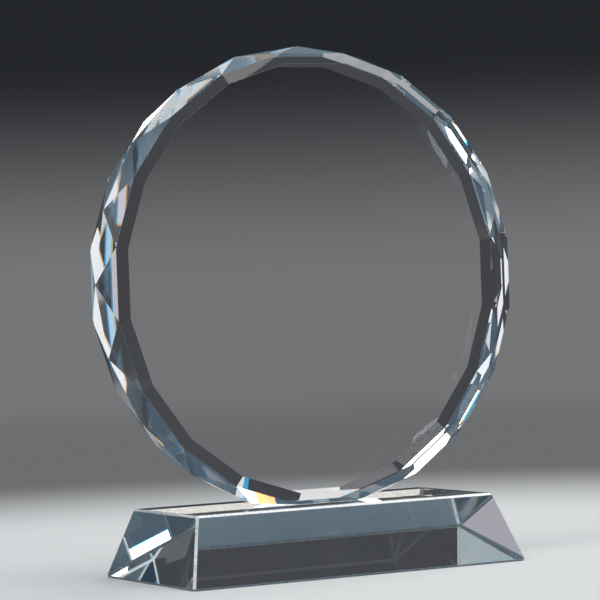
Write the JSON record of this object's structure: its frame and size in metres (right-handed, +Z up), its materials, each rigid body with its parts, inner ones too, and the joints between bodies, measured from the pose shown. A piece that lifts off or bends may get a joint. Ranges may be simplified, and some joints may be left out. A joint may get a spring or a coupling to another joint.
{
  "type": "crystal award",
  "caption": "Clear crystal award: a round plaque with a diamond-cut faceted rim, bonded upright on a rectangular crystal block with outward sloping sides.",
  "frame": {"origin": "centre of the block's underside", "axes": "+Z up, X along the block's long side and across the plaque, front of the plaque towards -Y"},
  "size_m": [0.15, 0.0624, 0.1691],
  "materials": {
    "plaque_crystal": "polished clear optical crystal, faint blue-green tint in thick paths",
    "base_crystal": "polished clear optical crystal with narrow polished edge chamfers",
    "clear_adhesive": "cured clear optical adhesive"
  },
  "bodies": {
    "root": {"crystal_disc": "plaque_crystal", "crystal_base": "base_crystal", "glue_film": "clear_adhesive"}
  },
  "joints": []
}
